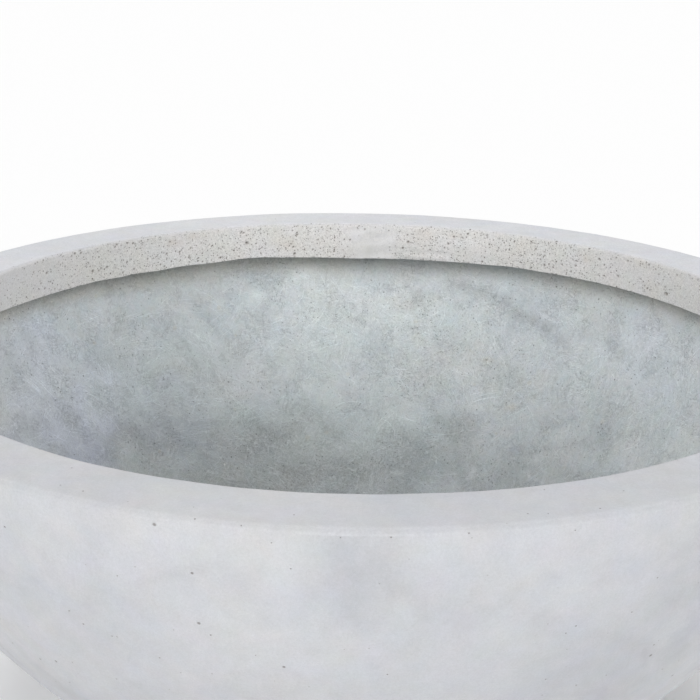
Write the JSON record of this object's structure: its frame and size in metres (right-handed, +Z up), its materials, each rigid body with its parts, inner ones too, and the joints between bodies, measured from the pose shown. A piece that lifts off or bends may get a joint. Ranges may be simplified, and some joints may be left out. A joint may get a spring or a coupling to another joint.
{
  "type": "concrete bowl planter",
  "caption": "Round concrete bowl planter with a thick turned-in rim, fibre-reinforced inner wall, low foot ring and a pull-out rubber drain plug.",
  "frame": {"origin": "middle of the foot's underside, on the floor", "axes": "+Z up along the bowl's axis, out of its mouth"},
  "size_m": [0.6, 0.6, 0.24],
  "materials": {
    "face_concrete": "dense light grey cast concrete, matt, with fine pinholes",
    "core_concrete": "rough grey fibre concrete",
    "wall_fibre_concrete": "matt blue-grey concrete, hand laid, with pale glass fibres showing",
    "floor_fibre_concrete": "matt blue-grey concrete, hand laid, with pale glass fibres showing",
    "foot_concrete": "dense light grey cast concrete, rubbed flat underneath",
    "plug_rubber": "matt black moulded rubber"
  },
  "bodies": {
    "bowl": {"face_coat": "face_concrete", "rim_core": "core_concrete", "wall_backing": "wall_fibre_concrete", "floor_backing": "floor_fibre_concrete", "foot_ring": "foot_concrete"},
    "plug": {"drain_plug": "plug_rubber"}
  },
  "joints": [
    {"name": "plug_lift", "type": "slide", "parent": "bowl", "child": "plug", "axis": [0, 0, 1], "range_m": [0, 0.26]}
  ]
}
